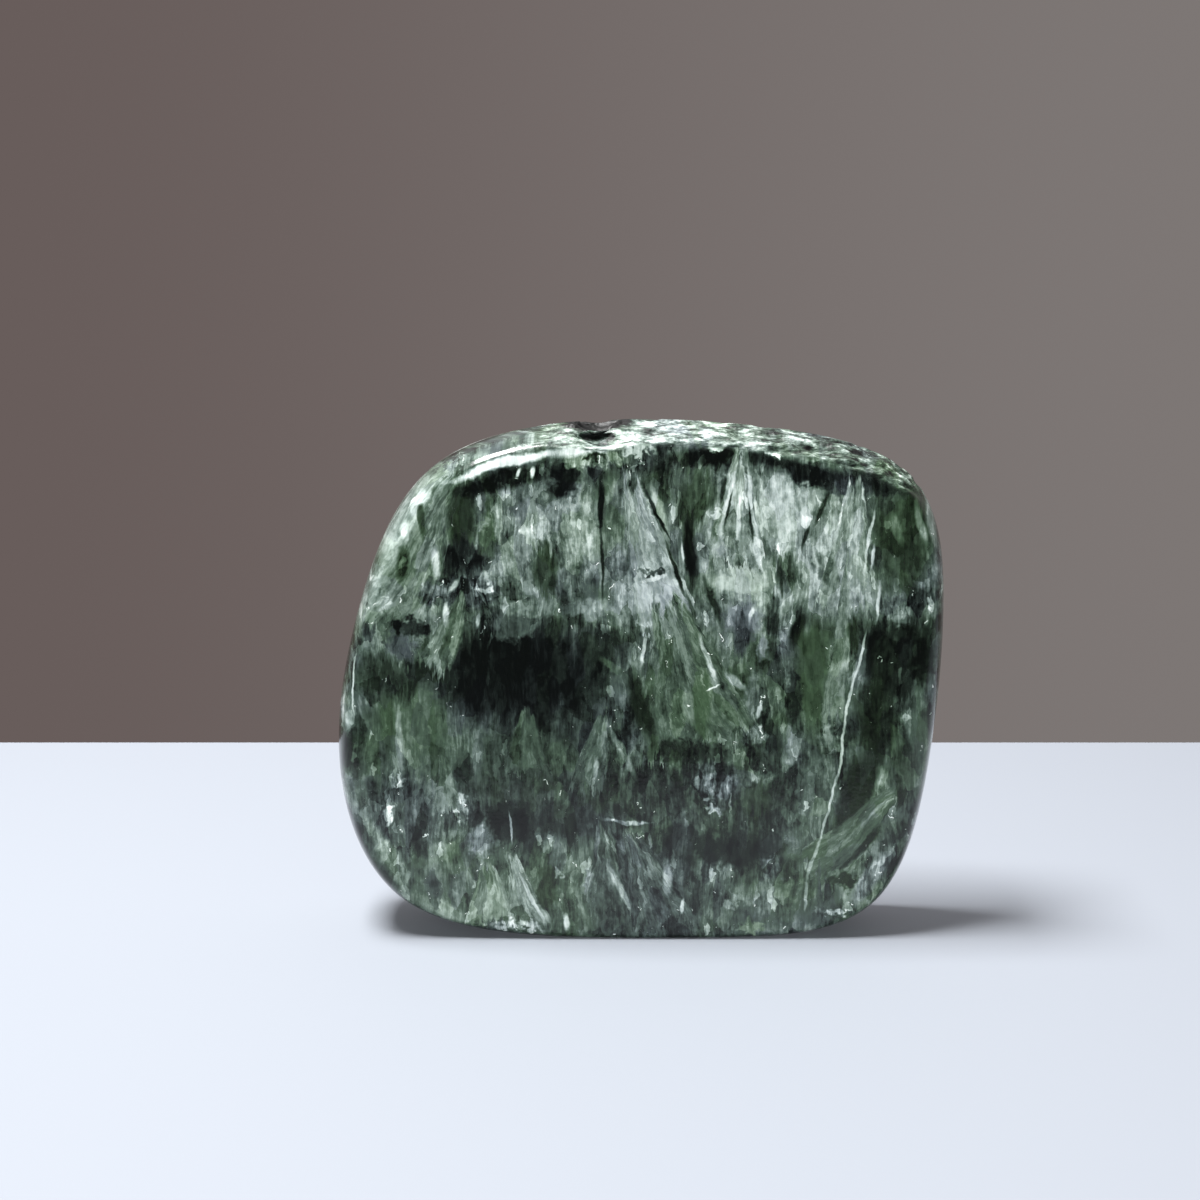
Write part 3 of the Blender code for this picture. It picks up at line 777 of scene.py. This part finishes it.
# The finish: the polish, how much rougher the crust is and how uneven both are, and the fine relief
POLISH_ROUGHNESS = 0.10
CRUST_ROUGHNESS = 0.38
UNEVEN_ROUGHNESS = 0.06
POLISH_SPECULAR = 0.45
RELIEF_SCALE = 1.6 / MM
POLISH_RELIEF = 0.04
CRUST_BUMPS = 0.9
RELIEF_STRENGTH = 0.5
RELIEF_HEIGHT = 0.35 * MM


def stone():
    material = bpy.data.materials.new("polished_seraphinite")
    material.use_nodes = True
    tree = material.node_tree
    shader = tree.nodes["Principled BSDF"]

    # Millimetres on the main face. Deeper in, the pattern slants and drifts, and its fibres wander everywhere
    place = make(tree, "ShaderNodeTexCoord").outputs["Object"]
    in_mm = vectors(tree, "MULTIPLY", place, (1 / MM, 1 / MM, 1 / MM))
    solid = make(tree, "ShaderNodeSeparateXYZ", {0: in_mm}).outputs
    face_at = maths(tree, "MULTIPLY_ADD", solid[2], FRONT_LEAN, float(SLAB_LOW.y / MM))
    behind = maths(tree, "SUBTRACT", maths(tree, "SUBTRACT", solid[1], face_at), EDGE_DEPTH)
    depth = maths(tree, "MAXIMUM", behind, 0.0)
    deep_drift = maths(tree, "MULTIPLY", depth, DRIFT)
    drifts = parted(tree, cloudy(tree, in_mm, DRIFT_SCALE, 1.0, 0.5)["Color"])
    wanders = parted(tree, cloudy(tree, in_mm, WANDER_SCALE, 1.0, 0.5)["Color"])
    slanted_x = maths(tree, "MULTIPLY_ADD", depth, SLANT[0], solid[0])
    slanted_z = maths(tree, "MULTIPLY_ADD", depth, SLANT[1], solid[2])
    x = swayed(tree, swayed(tree, slanted_x, drifts[0], deep_drift), wanders[0], WANDER)
    z = swayed(tree, swayed(tree, slanted_z, drifts[1], deep_drift), wanders[1], WANDER)

    # Fine points for streaks and plumes, rough ones for spots, and torn ones for clouds
    rough_noise = cloudy(tree, in_mm, ROUGH_SCALE, 2.0, 0.7)["Color"]
    roughs = parted(tree, rough_noise)
    torn_at = vectors(tree, "MULTIPLY", place, TORN_SCALES)
    tear = maths(tree, "SUBTRACT", cloudy(tree, torn_at, 1.0, 3.0, 0.7)["Fac"], 0.5)
    fine_x, fine_z = (swayed(tree, value, roughs[i], FINE[i]) for i, value in enumerate((x, z)))
    rough_x, rough_z = (swayed(tree, value, roughs[i], ROUGH[i]) for i, value in enumerate((x, z)))
    torn_z = maths(tree, "MULTIPLY_ADD", tear, TORN, fine_z)
    fine = face_point(tree, fine_x, fine_z)
    rough = face_point(tree, rough_x, rough_z)
    torn = face_point(tree, fine_x, torn_z)

    # The ground of the pattern: clouds over near-vertical fibres
    fibre_x = maths(tree, "MULTIPLY", x, 1 / FIBRE_WIDTH)
    fibre_z = maths(tree, "MULTIPLY", z, 1 / FIBRE_LENGTH)
    fibres = joined(tree, fibre_x, fibre_z, 0.0)
    clouds = parted(tree, cloudy(tree, in_mm, GROUND_SCALE, 2.0, 0.6)["Color"])
    ground = (maths(tree, "MULTIPLY_ADD", cloud, *levels) for cloud, levels in zip(clouds, GROUND))
    look = joined(tree, *ground)

    points = {CLOUD: torn, SPOT: rough, STREAK: fine, PLUME: fine, "tear": tear}
    plume = plume_group()
    for number, mark in enumerate(MARKS):
        look, fibres = placed_mark(tree, mark, plume, points, look, fibres, number)
    looks = parted(tree, look)
    busy = maths(tree, "MAXIMUM", looks[2], 0.0)

    # Crystals lie along the fibres, big and small, each with its own tone. Blotches and fine threads follow
    # the fibres too, and a haze lies over all
    uneven = vectors(tree, "SUBTRACT", rough_noise, (0.5, 0.5, 0.5))
    crumpled = vectors(tree, "ADD", fibres, vectors(tree, "MULTIPLY", uneven, CRUMPLE))
    big = crystals(tree, crumpled, BIG_CRYSTALS)
    small = crystals(tree, crumpled, SMALL_CRYSTALS)
    blotches_at = vectors(tree, "MULTIPLY", crumpled, BLOTCHES)
    layers = (
        (BIG_STRENGTH, big[0]),
        (SMALL_STRENGTH, small[0]),
        (BLOTCH_STRENGTH, cloudy(tree, blotches_at, 1.0, 2.0, 0.65)["Fac"]),
        (THREAD_STRENGTH, cloudy(tree, fibres, 1.0, 3.0, 0.65)["Fac"]),
        (HAZE_STRENGTH, cloudy(tree, in_mm, HAZE_SCALE, 3.0, 0.65)["Fac"]),
    )
    texture = -sum(strength for strength, layer in layers) / 2 - LOWERED
    for strength, layer in layers:
        texture = maths(tree, "MULTIPLY_ADD", layer, strength, texture)
    contrast = maths(tree, "MULTIPLY_ADD", busy, BUSY_CONTRAST, PLAIN_CONTRAST)
    paleness = maths(tree, "MULTIPLY_ADD", texture, contrast, looks[0])
    fleck_from = maths(tree, "MULTIPLY_ADD", busy, FLECK_MORE, FLECK_FROM)
    fleck = faded(tree, small[1], fleck_from, FLECK_FULL)
    paleness = maths(tree, "MULTIPLY_ADD", fleck, FLECK_PALENESS, paleness)

    grain_feeds = {"Vector": rough, "Scale": SPECK_SCALE}
    grains = make(tree, "ShaderNodeTexVoronoi", grain_feeds, voronoi_dimensions="2D").outputs
    size = maths(tree, "MULTIPLY_ADD", parted(tree, grains["Color"])[0], SPECK_SPREAD, SPECK_START)
    size = maths(tree, "MULTIPLY_ADD", busy, SPECK_MORE, size)
    size = maths(tree, "MAXIMUM", size, SPECK_LEAST)
    half_size = maths(tree, "MULTIPLY", size, 0.5)
    speck = faded(tree, grains["Distance"], size, half_size, 0.0, SPECK_PALENESS)
    paleness = maths(tree, "ADD", paleness, speck)

    crust = make(tree, "ShaderNodeAttribute", attribute_name="crust").outputs["Fac"]
    flaky = cloudy(tree, vectors(tree, "MULTIPLY", place, FLAKY_SCALES), 1.0, 4.0, 0.7)["Fac"]
    crust_pale = maths(tree, "MULTIPLY_ADD", flaky, FLAKY_CONTRAST, FLAKY_PALENESS)
    crust_pale = maths(tree, "ADD", crust_pale, faded(tree, solid[0], *CRUST_DARKENS))
    # Painted shade in the hollow at the back of the crust, darkest in its middle
    from_shaded_pit = vectors(tree, "DISTANCE", in_mm, SHADED_PIT_AT, result=1)
    pit_shade = faded(tree, from_shaded_pit, PIT_SHADE_REACH, PIT_SHADE_FULL, 0.0, PIT_PAINTED_SHADE)
    crust_pale = maths(tree, "ADD", crust_pale, pit_shade)
    cover = faded(tree, crust, *CRUST_COVERS)
    paleness = make(tree, "ShaderNodeMix", {0: cover, 2: paleness, 3: crust_pale}).outputs[0]

    hue = swayed(tree, looks[1], big[2], HUE_SWAY)
    olive = tone_ramp(tree, OLIVE_DARK_TO_PALE, paleness)
    slate = tone_ramp(tree, SLATE_DARK_TO_PALE, paleness)
    tree.links.new(blended(tree, hue, olive, slate), shader.inputs["Base Color"])

    # The polish is even but for faint pits, and the crust is dull and rough
    dullness = maths(tree, "MULTIPLY_ADD", crust, CRUST_ROUGHNESS, POLISH_ROUGHNESS)
    dullness = maths(tree, "MULTIPLY_ADD", roughs[2], UNEVEN_ROUGHNESS, dullness)
    tree.links.new(dullness, shader.inputs["Roughness"])
    shader.inputs["Specular IOR Level"].default_value = POLISH_SPECULAR
    pits = cloudy(tree, place, RELIEF_SCALE, 1.0, 0.7)["Fac"]
    relief = maths(tree, "MULTIPLY", pits, maths(tree, "MULTIPLY_ADD", crust, CRUST_BUMPS, POLISH_RELIEF))
    bump_feeds = {"Strength": RELIEF_STRENGTH, "Distance": RELIEF_HEIGHT, "Height": relief}
    bump = make(tree, "ShaderNodeBump", bump_feeds)
    tree.links.new(bump.outputs[0], shader.inputs["Normal"])
    return material


slab = make_slab()
slab.data.materials.append(stone())
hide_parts("seraphinite_slab")
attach(slab, "root")

# The table, for the picture only: one wide pale board with a satin finish. Its back edge is close behind
# the slab, where the floor of the photograph ends.
TABLE_HALF_WIDTH = 0.60
TABLE_FRONT = -0.22
TABLE_BACK = 0.069
TABLE_THICKNESS = 0.02
TABLE_COLOUR = (0.350, 0.375, 0.418, 1.0)

table_mesh = bpy.data.meshes.new("table")
table_form = bmesh.new()
bmesh.ops.create_cube(table_form, size=1.0)
table_size = Vector((2 * TABLE_HALF_WIDTH, TABLE_BACK - TABLE_FRONT, TABLE_THICKNESS))
table_middle = Vector((0, (TABLE_BACK + TABLE_FRONT) / 2, -TABLE_THICKNESS / 2))
bmesh.ops.scale(table_form, verts=table_form.verts, vec=table_size)
bmesh.ops.translate(table_form, verts=table_form.verts, vec=table_middle)
table_form.to_mesh(table_mesh)
table_form.free()
table = bpy.data.objects.new("table", table_mesh)
bpy.context.scene.collection.objects.link(table)
table_finish = bpy.data.materials.new("pale_table")
table_finish.use_nodes = True
table_shader = table_finish.node_tree.nodes["Principled BSDF"]
table_shader.inputs["Base Color"].default_value = TABLE_COLOUR
table_shader.inputs["Roughness"].default_value = 0.6
table_shader.inputs["Specular IOR Level"].default_value = 0.2
table_mesh.materials.append(table_finish)

# The light: one soft box overhead and to the left, and a low wide lamp in front that only fills, since it
# casts no shadow and shows in no polish. The room is dark in front and pale overhead, and its left wall is
# darker than its right one.
LEFT_WALL = (0.138, 0.109, 0.104, 1.0)
RIGHT_WALL = (0.205, 0.184, 0.177, 1.0)
CEILING = (0.50, 0.47, 0.48, 1.0)
DARK_FRONT = (0.035, 0.037, 0.038, 1.0)

world = bpy.data.worlds.new("studio")
bpy.context.scene.world = world
world.use_nodes = True
room = world.node_tree
facing = make(room, "ShaderNodeTexCoord").outputs["Generated"]
ways = make(room, "ShaderNodeSeparateXYZ", {0: facing}).outputs
to_right = faded(room, ways[0], -0.22, 0.22)
to_back = faded(room, ways[1], -0.3, 0.5)
upwards = faded(room, ways[2], 0.06, 0.35)
walls = blended(room, to_right, LEFT_WALL, RIGHT_WALL)
lit_room = blended(room, upwards, walls, CEILING)
shade = blended(room, to_back, DARK_FRONT, lit_room)
room.links.new(shade, room.nodes["Background"].inputs["Color"])


def soft_box(name, place, size, watts, only_fills=False):
    """A rectangular lamp that shines at the lower half of the slab."""
    lamp = bpy.data.lights.new(name, "AREA")
    lamp.shape = "RECTANGLE"
    lamp.size, lamp.size_y = size
    lamp.energy = watts
    lamp.use_shadow = not only_fills
    held = bpy.data.objects.new(name, lamp)
    held.visible_camera = not only_fills
    held.visible_glossy = not only_fills
    held.location = place
    aim = Vector((0.0, 0.0, 0.02))
    held.rotation_euler = (aim - Vector(place)).to_track_quat("-Z", "Y").to_euler()
    bpy.context.scene.collection.objects.link(held)


soft_box("overhead", place=(-0.15, 0.0, 0.48), size=(0.22, 0.14), watts=5.1)
soft_box("front", place=(0.05, -0.50, 0.09), size=(0.7, 0.14), watts=3.1, only_fills=True)

# The camera, at the photograph's height and distance
VIEW_HEIGHT_DEGREES = 12.0
VIEW_DISTANCE = 0.285
LOOK_AT = Vector((-0.004, 0.0, 0.03315))

view_angle = math.radians(VIEW_HEIGHT_DEGREES)
camera_data = bpy.data.cameras.new("camera")
camera_data.lens = 85
camera_data.sensor_width = 36
camera = bpy.data.objects.new("camera", camera_data)
camera.location = LOOK_AT + Vector((0, -math.cos(view_angle), math.sin(view_angle))) * VIEW_DISTANCE
camera.rotation_euler = (LOOK_AT - camera.location).to_track_quat("-Z", "Y").to_euler()
bpy.context.scene.collection.objects.link(camera)
bpy.context.scene.camera = camera
bpy.context.scene.view_settings.view_transform = "Standard"
